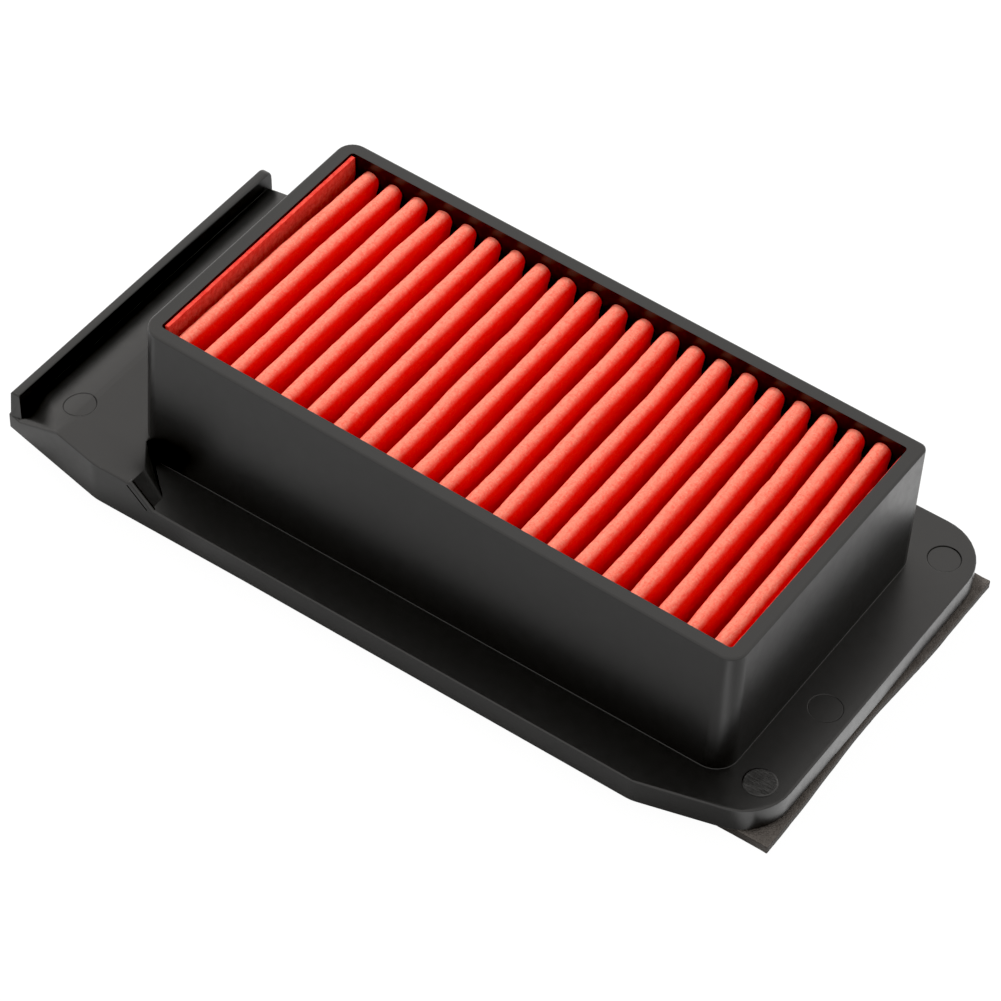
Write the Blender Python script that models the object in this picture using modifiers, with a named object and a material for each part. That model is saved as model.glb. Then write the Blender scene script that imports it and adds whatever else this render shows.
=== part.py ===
"""Panel air filter for a motorcycle airbox.

A one-piece moulded frame (wide flange, raised rectangular collar, upright lip
along its left edge) carries a pleated nonwoven filter pack.  The pack is glued
into the collar at its pleat ends and end folds.  A flat foam ring, held by a
self-adhesive film, seals the flange against the airbox.

Units are metres, +Z is up.  Design frame: X runs along the collar's long side
(left is -X), Y across it (front is -Y), z = 0 is the top of the low flange, and
the collar stands around x = y = 0.  The root empty shifts that frame so that the
world origin is the centre of the whole footprint, at the underside of the foam.
"""
import bpy
import bmesh
import math
from mathutils import Vector

MM = 0.001


def mm(*values):
    """Millimetre values as a tuple of metres."""
    return tuple(value * MM for value in values)


# ------------------------------------------------------------------ dimensions
# Flange
FLANGE_T = 7.05 * MM
FLANGE_RIGHT = 99.0 * MM
FLANGE_LEFT = -116.60 * MM
FLANGE_FRONT = -56.30 * MM
FLANGE_BACK = 54.80 * MM
FLANGE_R = 13.5 * MM          # the two right corners
EDGE_ROUND = 0.40 * MM
BLANK_X = 130 * MM            # half size of the blank before it is trimmed to plan
BLANK_Y = 80 * MM
PLAN_RISE = 20 * MM           # the plan trim reaches this far above the flange

# Plan outline, counter-clockwise: x, y, corner radius
FLANGE_OUTLINE = (
    (FLANGE_LEFT, -50.2 * MM, 0.5 * MM),
    (-85.0 * MM, FLANGE_FRONT, 12.0 * MM),
    (-40.0 * MM, FLANGE_FRONT + 0.45 * MM, 0.0),
    (68.7 * MM, FLANGE_FRONT + 0.55 * MM, 9.0 * MM),
    (FLANGE_RIGHT, -47.2 * MM, FLANGE_R),
    (FLANGE_RIGHT, FLANGE_BACK, FLANGE_R),
    (-88.0 * MM, FLANGE_BACK, 6.0 * MM),
    (-103.0 * MM, 51.3 * MM, 6.0 * MM),
    (FLANGE_LEFT, 50.6 * MM, 1.0 * MM),
)

# Lip; each x pair is foot, top
LIP_TOP_Z = 6.20 * MM
LIP_X_OUT = mm(-115.9, -115.2)
LIP_X_IN = mm(-112.35, -112.6)
LIP_Y = mm(-50.30, 49.90)
LIP_SINK = 1.5 * MM           # depth of the foot inside the strip
LIP_END_SLANT = 0.9 * MM      # the foot's back end is this far forward of the top's
LIP_END_R = 2.6 * MM
LIP_TOP_ROUND = 0.55 * MM

# Strip of the plate under the lip
STRIP_Z = -2.25 * MM
STRIP_SLOPE = 0.20
STRIP_END = LIP_X_IN[0] - STRIP_Z / STRIP_SLOPE

# Raised land at the left end; towards the lip its top curves down
LAND_Z = 5.35 * MM
LAND_BASE_Z = -4.0 * MM       # buried in the flange
LAND_LEFT = -114.0 * MM       # buried in the lip
LAND_FLAT_X = -97.5 * MM      # where the flat top ends
LAND_FOOT_Z = 1.35 * MM       # where the curved top meets the lip
LAND_CURVE = 1.55             # exponent of the curve
LAND_STEPS = 9
RAMP_TOP_X = -74.2 * MM       # ramp from the land down to the low flange
RAMP_RUN = 1.10               # run per unit of drop

# Planes that slope the land off, each through three points
FRONT_PLANE = (mm(-112.5, -51.0, -2.25), mm(-98.2, -53.8, 5.35), mm(-112.5, -44.7, 0.30))
BACK_PLANE = (mm(-111.7, 47.8, 1.5), mm(-105.1, 46.6, 4.0), mm(-111.7, 49.8, -2.5))
EASE_INNER = (-77.9 * MM, -44.1 * MM, LAND_Z)
EASE_LOW = mm(-66.8, -52.2, 0.0)
EASE_PLANE = ((-74.1 * MM, -50.6 * MM, LAND_Z), EASE_INNER, EASE_LOW)
FOOT_PLANE = (EASE_INNER, EASE_LOW, mm(-79.5, -41.8, 0.0))
EASE_AREA = mm(-86, -56, -62, -39)
FOOT_AREA = mm(-79.3, -56, -62, -39)
CUT_TOP = 200 * MM
# Name, plane, area (x0, x1, y0, y1), factor on y (-1 mirrors it to the back)
LAND_CUTS = (
    ("corner_front", FRONT_PLANE, mm(-125, -92, -75, -38), 1.0),
    ("corner_back", BACK_PLANE, mm(-125, -88.5, 45, 58), 1.0),
    ("ease_front", EASE_PLANE, EASE_AREA, 1.0),
    ("ease_front_foot", FOOT_PLANE, FOOT_AREA, 1.0),
    ("ease_back", EASE_PLANE, EASE_AREA, -1.0),
    ("ease_back_foot", FOOT_PLANE, FOOT_AREA, -1.0),
)

# Rounded bead along the ramp's front edge, and the slot outside it
BEAD_ENDS = (mm(-74.0, -55.45, 5.05), mm(-67.9, -55.45, -0.50))
BEAD_R = 0.75 * MM
SLOT_ENDS = (mm(-74.9, 0, 4.45), mm(-69.1, 0, -0.85))
SLOT_W = 0.45 * MM
SLOT_Y = -58 * MM             # front end of the slot cut
SLOT_LENGTH = 2.35 * MM

# Collar
FOOT_X = mm(-82.9, 84.5)      # ends of the collar at the flange
FOOT_Y = 42.6 * MM
RIM_X = mm(-81.9, 83.6)
RIM_Y = 40.9 * MM
RIM_Z = 38.45 * MM            # rim height over x = 0
RIM_SLOPE = -0.0234           # the rim leans 1.3 degrees against the flange
# Corner radii: front right, back right, back left, front left
FOOT_R = mm(6.0, 7.5, 6.0, 6.3)
RIM_R = mm(4.6, 2.0, 4.6, 5.0)
RIM_W = 3.56 * MM             # width of the rim's flat top
RIM_ROUND = 0.55 * MM
FILLET = 0.15 * MM            # where the collar meets the flange
FILLET_SINK = 0.03 * MM       # the fillet starts just below the flange top
COLLAR_BASE_Z = -FLANGE_T + 1.5 * MM
ROUND_STEPS = 3               # steps of the fillet and of the rim's round

# Opening through collar and flange
BORE_X = (RIM_X[0] + RIM_W, RIM_X[1] - RIM_W)
BORE_Y = RIM_Y - RIM_W
BORE_R = 0.9 * MM
BORE_BOTTOM = -FLANGE_T - 5 * MM
BORE_TOP = RIM_Z + 20 * MM
LEDGE_W = 2.6 * MM            # inner ledge that carries the pack

# Pin marks: centre x, centre y, seat height, offset (+ proud, - sunk)
PIN_R = 4.10 * MM
PIN_TAPER = 0.05 * MM         # a proud mark's top radius is smaller by this
PIN_PAD_SINK = 1.0 * MM
PIN_CUT_H = 2.0 * MM
PINS = (
    (-100.0 * MM, -42.8 * MM, LAND_Z, -0.16 * MM),
    mm(90.9, 43.7, 0.0, -0.16),
    mm(92.0, -38.9, 0.0, 0.22),
    mm(92.4, -11.8, 0.0, -0.07),
)

# Pockets under the front edge, open downwards, with ribs between them
POCKET_COUNT = 6
POCKET_X = mm(-80.0, 66.0)
POCKET_Y = mm(-53.0, -48.9)
POCKET_BOTTOM = -FLANGE_T - 2 * MM
POCKET_TOP = -2.7 * MM
POCKET_RIB = 1.8 * MM
POCKET_PITCH = (POCKET_X[1] - POCKET_X[0]) / POCKET_COUNT

# Support rib across the opening
SUPPORT_HALF_W = 1.1 * MM
SUPPORT_OVERLAP = 0.15 * MM   # into the opening's end walls
SUPPORT_BOTTOM = -FLANGE_T + 0.8 * MM
SUPPORT_GAP = 0.35 * MM       # below the lower folds

# Pleated pack
PLEATS = 21
PACK_H = 37.6 * MM
PACK_DROP = 3.0 * MM          # crests below the rim
SHEET_T = 1.00 * MM
FIRST_CREST = 0.65            # in pitches from the left wall
SPAN_PITCHES = 21.2           # inner length in pitches
PITCH = (BORE_X[1] - BORE_X[0]) / SPAN_PITCHES
FLAP_GAP = 0.35 * MM          # end flaps to the end walls
FLAP_DROP_LEFT = 0.45 * MM    # flap's top edge below the rim
FLAP_DROP_RIGHT = 3.2 * MM
SIDE_GAP = 1.25 * MM          # pleat ends to the long walls
FOLD_STEPS = 6

# Glue
BOND_T = 0.65 * MM
GAP = 0.30 * MM
SIDE_BOND_DROP = 4.6 * MM     # side beads end this far below the crests
SIDE_BOND_RISE = 0.2 * MM     # and start this far above the lower folds
SIDE_BOND_INSET = 0.6 * MM    # and end this far from the end walls
END_BOND_W = LEDGE_W - 0.5 * MM   # from the end wall to the bead's inner side
END_BOND_INSET = 1.4 * MM
END_BOND_ROUND = 0.2 * MM

# Gasket
TAPE_T = 0.15 * MM
TAPE_GAP = 0.25 * MM          # above and below the tape
TAPE_TOP = -FLANGE_T - TAPE_GAP
TAPE_BOTTOM = TAPE_TOP - TAPE_T
TAPE_INSET = 2.5 * MM         # inside the foam's outline
TAPE_HOLE_GROW = 1.5 * MM
TAPE_R = 14.0 * MM
FOAM_TOP = TAPE_BOTTOM - TAPE_GAP
FOAM_BOTTOM = -10.40 * MM
FOAM_X = mm(-108.0, 100.6)
FOAM_Y = mm(-48.0, 51.0)
FOAM_R = 1.4 * MM
FOAM_ROUND = 0.35 * MM
HOLE_X = mm(-77.0, 78.6)
HOLE_Y = 36.2 * MM
HOLE_R = 2.0 * MM
HOLE_OVERCUT = 3 * MM

# World place of the design frame: the footprint runs from the flange's left end
# to the foam's right end, and across the flange.
ROOT_PLACE = (-(FLANGE_LEFT + FOAM_X[1]) / 2,
              -(FLANGE_FRONT + FLANGE_BACK) / 2,
              -FOAM_BOTTOM)


def rim_z(x):
    """Height of the rim plane."""
    return RIM_Z + RIM_SLOPE * x


def crest_z(x):
    """Height of the pleat crests."""
    return rim_z(x) - PACK_DROP


def root_z(x):
    """Height of the pleats' lower folds."""
    return crest_z(x) - PACK_H


def ledge_z(x):
    """Top of the inner ledge: glue bead and two small gaps under the folds."""
    return root_z(x) - 2 * GAP - BOND_T


# ------------------------------------------------------------------ scene
for ob in list(bpy.data.objects):
    bpy.data.objects.remove(ob, do_unlink=True)


def new_collection(name):
    collection = bpy.data.collections.new(name)
    bpy.context.scene.collection.children.link(collection)
    return collection


model = new_collection("air_filter")
cutters = new_collection("cutters")

root = bpy.data.objects.new("air_filter_root", None)
root.location = ROOT_PLACE
model.objects.link(root)


def material(name, colour, roughness):
    mat = bpy.data.materials.new(name)
    mat.use_nodes = True
    bsdf = mat.node_tree.nodes["Principled BSDF"]
    bsdf.inputs["Base Color"].default_value = (*colour, 1.0)
    bsdf.inputs["Roughness"].default_value = roughness
    mat.diffuse_color = (*colour, 1.0)
    return mat


FRAME_PLASTIC = material("frame_plastic", colour=(0.018, 0.018, 0.018), roughness=0.45)
MEDIA_FELT = material("media_felt", colour=(0.72, 0.022, 0.012), roughness=0.9)
GASKET_FOAM = material("gasket_foam", colour=(0.052, 0.045, 0.040), roughness=0.95)
EDGE_GLUE = material("edge_glue", colour=(0.020, 0.016, 0.016), roughness=0.5)
GASKET_TAPE = material("gasket_tape", colour=(0.62, 0.60, 0.55), roughness=0.6)


# ------------------------------------------------------------------ objects
def add_object(name, bm, collection):
    """Turn a bmesh into an object under the root."""
    bmesh.ops.recalc_face_normals(bm, faces=bm.faces)
    mesh = bpy.data.meshes.new(name)
    bm.to_mesh(mesh)
    bm.free()
    ob = bpy.data.objects.new(name, mesh)
    collection.objects.link(ob)
    ob.parent = root
    return ob


def add_piece(name, bm, mat):
    ob = add_object(name, bm, model)
    ob.data.materials.append(mat)
    return ob


def combine(target, operation, name, bm):
    """Make a hidden helper, apply it to the target as a boolean and return it."""
    helper = add_object(name, bm, cutters)
    helper.hide_render = True
    helper.display_type = 'WIRE'
    mod = target.modifiers.new(name, 'BOOLEAN')
    mod.operation = operation
    mod.object = helper
    mod.solver = 'EXACT'
    return helper


def round_edges(ob, width, min_degrees):
    """Bevel the edges sharper than the given angle."""
    mod = ob.modifiers.new("edge_round", 'BEVEL')
    mod.width = width
    mod.segments = 2
    mod.limit_method = 'ANGLE'
    mod.angle_limit = math.radians(min_degrees)
    mod.use_clamp_overlap = False


def shade(ob, sharp_degrees=32):
    ob.data.shade_smooth()
    ob.data.set_sharp_from_angle(angle=math.radians(sharp_degrees))


# ------------------------------------------------------------------ outlines
def arc(centre_x, centre_y, radius, start, end, steps):
    points = []
    for i in range(steps + 1):
        angle = start + (end - start) * i / steps
        points.append((centre_x + radius * math.cos(angle),
                       centre_y + radius * math.sin(angle)))
    return points


def rounded_rect(x0, x1, y0, y1, radii, steps):
    """Counter-clockwise rectangle with rounded corners; radii is one radius or
    four, from the front-right corner on."""
    if not isinstance(radii, (tuple, list)):
        radii = (radii,) * 4
    # Direction from each corner to its arc's centre
    inward = ((x1, y0, -1, 1), (x1, y1, -1, -1), (x0, y1, 1, -1), (x0, y0, 1, 1))
    quarter = math.pi / 2
    points = []
    for i, ((x, y, side_x, side_y), radius) in enumerate(zip(inward, radii)):
        start = (i - 1) * quarter
        points += arc(x + side_x * radius, y + side_y * radius, radius,
                      start, start + quarter, steps)
    return points


def rounded_polygon(corners, quarter_steps):
    """Loop through (x, y, radius) corners, each rounded with its own radius."""
    points = []
    for i, (x, y, radius) in enumerate(corners):
        if radius <= 0.0:
            points.append((x, y))
            continue
        corner = Vector((x, y))
        to_previous = (Vector(corners[i - 1][:2]) - corner).normalized()
        to_next = (Vector(corners[(i + 1) % len(corners)][:2]) - corner).normalized()
        half = to_previous.angle(to_next) / 2
        tangent = radius / math.tan(half)
        centre = corner + (to_previous + to_next).normalized() * (radius / math.sin(half))
        first = (corner + to_previous * tangent) - centre
        last = (corner + to_next * tangent) - centre
        sweep = first.angle(last)
        steps = max(2, int(math.ceil(quarter_steps * sweep / (math.pi / 2))))
        turn = 1.0 if first.x * last.y - first.y * last.x > 0 else -1.0
        start = math.atan2(first.y, first.x)
        points += arc(centre.x, centre.y, radius, start, start + turn * sweep, steps)
    return points


def height(z, x):
    """A height may be a number or a function of x."""
    return z(x) if callable(z) else z


def at_height(outline, z):
    return [(x, y, height(z, x)) for x, y in outline]


# ------------------------------------------------------------------ solids
def extrude(bm, geom, key, direction):
    """Move the vertices of an extrusion along a direction."""
    operation = {"face": bmesh.ops.extrude_face_region,
                 "edges": bmesh.ops.extrude_edge_only}[key]
    result = operation(bm, **{"geom" if key == "face" else "edges": geom})
    moved = [item for item in result["geom"] if isinstance(item, bmesh.types.BMVert)]
    bmesh.ops.translate(bm, verts=moved, vec=direction)


def prism(loop, direction):
    """Extrude one flat 3D outline along a direction."""
    bm = bmesh.new()
    face = bm.faces.new([bm.verts.new(point) for point in loop])
    extrude(bm, [face], "face", direction)
    return bm


def sweep_across(profile, y, length):
    """Extrude a side profile of (x, z) points from y towards the back."""
    return prism([(x, y, z) for x, z in profile], (0, length, 0))


def loft(loops):
    """Skin a stack of loops with the same number of points, capped at both ends."""
    bm = bmesh.new()
    rings = [[bm.verts.new(point) for point in loop] for loop in loops]
    count = len(rings[0])
    for low, high in zip(rings, rings[1:]):
        for i in range(count):
            j = (i + 1) % count
            bm.faces.new((low[i], low[j], high[j], high[i]))
    bm.faces.new(list(reversed(rings[0])))
    bm.faces.new(rings[-1])
    return bm


def add_block(bm, x0, x1, y0, y1, z0, z1):
    """Add a box; z0 and z1 may be functions of x."""
    verts = bmesh.ops.create_cube(bm, size=2.0)["verts"]
    for vert in verts:
        x = x1 if vert.co.x > 0 else x0
        y = y1 if vert.co.y > 0 else y0
        vert.co = Vector((x, y, height(z1 if vert.co.z > 0 else z0, x)))
    return verts


# ------------------------------------------------------------------ frame moulding
def flange_blank():
    """Flange and the strip under the lip, wider than the finished plan."""
    profile = [(-BLANK_X, -FLANGE_T), (BLANK_X, -FLANGE_T), (BLANK_X, 0.0),
               (STRIP_END, 0.0), (LIP_X_IN[0], STRIP_Z), (-BLANK_X, STRIP_Z)]
    bm = sweep_across(profile, -BLANK_Y, 2 * BLANK_Y)
    return add_piece("frame_moulding", bm, FRAME_PLASTIC)


def above_plane(plane, area, y_factor):
    """Everything above the plane through three points, within a rectangle."""
    origin, second, third = (Vector(point) for point in plane)
    normal = (second - origin).cross(third - origin)
    x0, x1, y0, y1 = area
    low, high = [], []
    for x, y in ((x0, y0), (x1, y0), (x1, y1), (x0, y1)):
        rise = (normal.x * (x - origin.x) + normal.y * (y - origin.y)) / normal.z
        low.append((x, y_factor * y, origin.z - rise))
        high.append((x, y_factor * y, CUT_TOP))
    return loft([low, high])


def add_land(frame):
    """Raised land, sloped off at its left corners and beside the collar."""
    profile = [(LAND_LEFT, LAND_BASE_Z),
               (RAMP_TOP_X + RAMP_RUN * (LAND_Z - LAND_BASE_Z), LAND_BASE_Z),
               (RAMP_TOP_X, LAND_Z)]
    run = LAND_FLAT_X - LIP_X_IN[0]
    for k in range(LAND_STEPS + 1):
        part = k / LAND_STEPS
        profile.append((LAND_FLAT_X - run * part,
                        LAND_Z - (LAND_Z - LAND_FOOT_Z) * part ** LAND_CURVE))
    profile.append((LAND_LEFT, LAND_FOOT_Z))
    bm = sweep_across(profile, -BLANK_Y, 2 * BLANK_Y)
    land = combine(frame, 'UNION', "land_form", bm)
    for name, plane, area, y_factor in LAND_CUTS:
        combine(land, 'DIFFERENCE', name, above_plane(plane, area, y_factor))


def trim_to_plan(frame):
    outline = rounded_polygon(FLANGE_OUTLINE, quarter_steps=9)
    bm = prism(at_height(outline, -FLANGE_T), (0, 0, FLANGE_T + PLAN_RISE))
    combine(frame, 'INTERSECT', "flange_plan", bm)


def add_ramp_bead(frame):
    """A sphere stretched into a capsule between the bead's ends."""
    start, end = (Vector(point) for point in BEAD_ENDS)
    axis = end - start
    bm = bmesh.new()
    bmesh.ops.create_uvsphere(bm, u_segments=16, v_segments=8, radius=BEAD_R)
    for vert in bm.verts:
        if vert.co.z >= 0:
            vert.co.z += axis.length
    turn = axis.to_track_quat('Z', 'Y').to_matrix().to_4x4()
    bmesh.ops.transform(bm, matrix=turn, verts=bm.verts)
    bmesh.ops.translate(bm, verts=bm.verts, vec=start)
    combine(frame, 'UNION', "ramp_bead", bm)


def cut_ramp_slot(frame):
    start, end = (Vector(point) for point in SLOT_ENDS)
    side = (end - start).normalized().cross(Vector((0, 1, 0))) * SLOT_W / 2
    corners = (start - side, end - side, end + side, start + side)
    bm = sweep_across([(corner.x, corner.z) for corner in corners], SLOT_Y, SLOT_LENGTH)
    combine(frame, 'DIFFERENCE', "ramp_slot", bm)


def add_lip(frame):
    """A tapered rib with a rounded back top corner."""
    bm = bmesh.new()
    verts = add_block(bm, LIP_X_OUT[0], LIP_X_IN[0], *LIP_Y,
                      STRIP_Z - LIP_SINK, LIP_TOP_Z)
    middle_x = (LIP_X_OUT[0] + LIP_X_IN[0]) / 2
    for vert in verts:
        if vert.co.z > 0:
            vert.co.x = (LIP_X_OUT if vert.co.x < middle_x else LIP_X_IN)[1]
        elif vert.co.y > 0:
            vert.co.y -= LIP_END_SLANT
    back_edge = [edge for edge in bm.edges
                 if all(vert.co.y > 0 and vert.co.z > 0 for vert in edge.verts)]
    bmesh.ops.bevel(bm, geom=back_edge, offset=LIP_END_R, segments=5, profile=0.5,
                    affect='EDGES')
    lowest = LIP_TOP_Z - LIP_END_R - 0.01 * MM
    top_edges = [edge for edge in bm.edges
                 if all(vert.co.z > lowest for vert in edge.verts)
                 and edge.calc_face_angle() > math.radians(50)]
    bmesh.ops.bevel(bm, geom=top_edges, offset=LIP_TOP_ROUND, segments=2, profile=0.5,
                    affect='EDGES')
    combine(frame, 'UNION', "lip_form", bm)


def collar_loop(part, grow, z):
    """Rounded rectangle between foot (part = 0) and rim (part = 1), grown outwards."""
    x0 = FOOT_X[0] + (RIM_X[0] - FOOT_X[0]) * part - grow
    x1 = FOOT_X[1] + (RIM_X[1] - FOOT_X[1]) * part + grow
    y = FOOT_Y + (RIM_Y - FOOT_Y) * part + grow
    radii = [foot + (rim - foot) * part + grow for foot, rim in zip(FOOT_R, RIM_R)]
    return at_height(rounded_rect(x0, x1, -y, y, radii, steps=7), z)


def add_collar(frame):
    """Collar lofted from its filleted foot to the leaning, rounded rim."""
    angles = [math.pi / 2 * k / ROUND_STEPS for k in range(1, ROUND_STEPS + 1)]
    loops = [collar_loop(0.0, FILLET, COLLAR_BASE_Z),
             collar_loop(0.0, FILLET, -FILLET_SINK)]
    for angle in angles:
        loops.append(collar_loop(0.0, FILLET * (1 - math.sin(angle)),
                                 FILLET * (1 - math.cos(angle))))
    loops.append(collar_loop(1.0, 0.0, lambda x: rim_z(x) - RIM_ROUND))
    for angle in angles:
        drop = RIM_ROUND * (1 - math.sin(angle))
        loops.append(collar_loop(1.0, -RIM_ROUND * (1 - math.cos(angle)),
                                 lambda x: rim_z(x) - drop))
    combine(frame, 'UNION', "collar_form", loft(loops))


def pin_disc(x, y, z0, z1, top_radius):
    bm = bmesh.new()
    bmesh.ops.create_cone(bm, cap_ends=True, segments=40, radius1=PIN_R,
                          radius2=top_radius, depth=z1 - z0)
    bmesh.ops.translate(bm, verts=bm.verts, vec=(x, y, (z0 + z1) / 2))
    return bm


def add_proud_pins(frame):
    for i, (x, y, seat, offset) in enumerate(PINS):
        if offset > 0:
            bm = pin_disc(x, y, seat - PIN_PAD_SINK, seat + offset, PIN_R - PIN_TAPER)
            combine(frame, 'UNION', f"pin_pad_{i}", bm)


def cut_sunk_pins(frame):
    for i, (x, y, seat, offset) in enumerate(PINS):
        if offset < 0:
            floor = seat + offset
            bm = pin_disc(x, y, floor, floor + PIN_CUT_H, PIN_R)
            combine(frame, 'DIFFERENCE', f"pin_cut_{i}", bm)


def cut_opening(frame):
    """Opening through collar and flange, narrower below the ledge."""
    loops = []
    for inset, z in ((LEDGE_W, BORE_BOTTOM), (LEDGE_W, ledge_z),
                     (0.0, ledge_z), (0.0, BORE_TOP)):
        outline = rounded_rect(BORE_X[0] + inset, BORE_X[1] - inset,
                               -BORE_Y + inset, BORE_Y - inset, BORE_R, steps=3)
        loops.append(at_height(outline, z))
    combine(frame, 'DIFFERENCE', "opening_cut", loft(loops))


def cut_pockets(frame):
    bm = bmesh.new()
    for k in range(POCKET_COUNT):
        x0 = POCKET_X[0] + POCKET_PITCH * k + POCKET_RIB / 2
        add_block(bm, x0, x0 + POCKET_PITCH - POCKET_RIB, *POCKET_Y,
                  POCKET_BOTTOM, POCKET_TOP)
    combine(frame, 'DIFFERENCE', "relief_cuts", bm)


def add_support_rib(frame):
    """Rib along the middle of the opening, under the lower folds."""
    bm = bmesh.new()
    add_block(bm, BORE_X[0] + LEDGE_W - SUPPORT_OVERLAP,
              BORE_X[1] - LEDGE_W + SUPPORT_OVERLAP,
              -SUPPORT_HALF_W, SUPPORT_HALF_W,
              SUPPORT_BOTTOM, lambda x: root_z(x) - SUPPORT_GAP)
    combine(frame, 'UNION', "support_rib", bm)


def build_frame():
    frame = flange_blank()
    add_land(frame)
    trim_to_plan(frame)
    # Only the flange and land are rounded; later features keep their own edges.
    round_edges(frame, EDGE_ROUND, min_degrees=48)
    add_ramp_bead(frame)
    cut_ramp_slot(frame)
    add_lip(frame)
    add_collar(frame)
    add_proud_pins(frame)
    cut_opening(frame)
    cut_sunk_pins(frame)
    cut_pockets(frame)
    add_support_rib(frame)
    shade(frame)


# ------------------------------------------------------------------ pleated pack
def pleat_line():
    """Centre line of the sheet: down the left wall, the pleats, up the right wall."""
    left = BORE_X[0] + FLAP_GAP + SHEET_T / 2
    right = BORE_X[1] - FLAP_GAP - SHEET_T / 2
    flanks = [left]
    for i in range(PLEATS):
        crest = BORE_X[0] + PITCH * (FIRST_CREST + i)
        flanks += [crest - PITCH / 4, crest + PITCH / 4]
    flanks.append(right)

    line = [(left, rim_z(left) - FLAP_DROP_LEFT)]
    for k, (x0, x1) in enumerate(zip(flanks, flanks[1:])):
        radius = (x1 - x0) / 2
        x = (x0 + x1) / 2
        # Half circles, lower fold first, then crest and lower fold in turn
        if k % 2 == 0:
            side = -1
            z = root_z(x) + SHEET_T / 2 + radius
        else:
            side = 1
            z = crest_z(x) - SHEET_T / 2 - radius
        for step in range(FOLD_STEPS + 1):
            angle = math.pi - math.pi * step / FOLD_STEPS
            line.append((x + radius * math.cos(angle),
                         z + side * radius * math.sin(angle)))
    line.append((right, rim_z(right) - FLAP_DROP_RIGHT))
    return line


def build_media():
    half_width = BORE_Y - SIDE_GAP
    bm = bmesh.new()
    verts = [bm.verts.new((x, -half_width, z)) for x, z in pleat_line()]
    edges = [bm.edges.new(pair) for pair in zip(verts, verts[1:])]
    extrude(bm, edges, "edges", (0, 2 * half_width, 0))
    media = add_piece("pleated_media", bm, MEDIA_FELT)
    sheet = media.modifiers.new("sheet", 'SOLIDIFY')
    sheet.thickness = SHEET_T
    sheet.offset = 0.0
    sheet.use_even_offset = True
    shade(media, sharp_degrees=40)


# ------------------------------------------------------------------ glue
def build_side_bond(name, side):
    """Bead along a long wall, over the pleat ends."""
    bm = bmesh.new()
    y0, y1 = sorted((side * (BORE_Y - GAP), side * (BORE_Y - GAP - BOND_T)))
    add_block(bm, BORE_X[0] + SIDE_BOND_INSET, BORE_X[1] - SIDE_BOND_INSET, y0, y1,
              lambda x: root_z(x) + SIDE_BOND_RISE,
              lambda x: crest_z(x) - SIDE_BOND_DROP)
    shade(add_piece(name, bm, EDGE_GLUE))


def build_end_bond(name, wall_x, inward):
    """Bead on the ledge at an end wall, under the end fold."""
    bm = bmesh.new()
    x0, x1 = sorted((wall_x + inward * GAP, wall_x + inward * END_BOND_W))
    add_block(bm, x0, x1, -BORE_Y + END_BOND_INSET, BORE_Y - END_BOND_INSET,
              lambda x: ledge_z(x) + GAP, lambda x: ledge_z(x) + GAP + BOND_T)
    bond = add_piece(name, bm, EDGE_GLUE)
    round_edges(bond, END_BOND_ROUND, min_degrees=30)
    shade(bond)


# ------------------------------------------------------------------ gasket
def ring(name, mat, z0, z1, inset, hole_grow, radius):
    """Flat ring: a rectangle with rounded corners and a rectangular opening."""
    outline = rounded_rect(FOAM_X[0] + inset, FOAM_X[1] - inset,
                           FOAM_Y[0] + inset, FOAM_Y[1] - inset, radius, steps=6)
    ob = add_piece(name, prism(at_height(outline, z0), (0, 0, z1 - z0)), mat)
    outline = rounded_rect(HOLE_X[0] - hole_grow, HOLE_X[1] + hole_grow,
                           -HOLE_Y - hole_grow, HOLE_Y + hole_grow, HOLE_R, steps=4)
    bm = prism(at_height(outline, z0 - HOLE_OVERCUT), (0, 0, z1 - z0 + 2 * HOLE_OVERCUT))
    combine(ob, 'DIFFERENCE', name + "_hole", bm)
    return ob


def build_gasket():
    tape = ring("gasket_tape", GASKET_TAPE, TAPE_BOTTOM, TAPE_TOP,
                inset=TAPE_INSET, hole_grow=TAPE_HOLE_GROW, radius=TAPE_R)
    shade(tape)
    foam = ring("foam_gasket", GASKET_FOAM, FOAM_BOTTOM, FOAM_TOP,
                inset=0.0, hole_grow=0.0, radius=FOAM_R)
    round_edges(foam, FOAM_ROUND, min_degrees=40)
    shade(foam)


build_frame()
build_media()
build_side_bond("edge_bond_front", side=-1.0)
build_side_bond("edge_bond_back", side=1.0)
build_end_bond("end_bond_left", BORE_X[0], inward=1.0)
build_end_bond("end_bond_right", BORE_X[1], inward=-1.0)
build_gasket()
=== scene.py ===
"""Motorcycle air filter: black moulded frame, red pleated felt, foam gasket, glue beads.

It lies flat on the floor at z = 0. The long side runs along X and the folds of the
felt along Y; the front faces -Y and the right end +X. Units are metres.
"""

import math
from functools import cached_property

import bmesh
import bpy
import numpy as np
from mathutils import Matrix, Vector, noise

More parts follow.
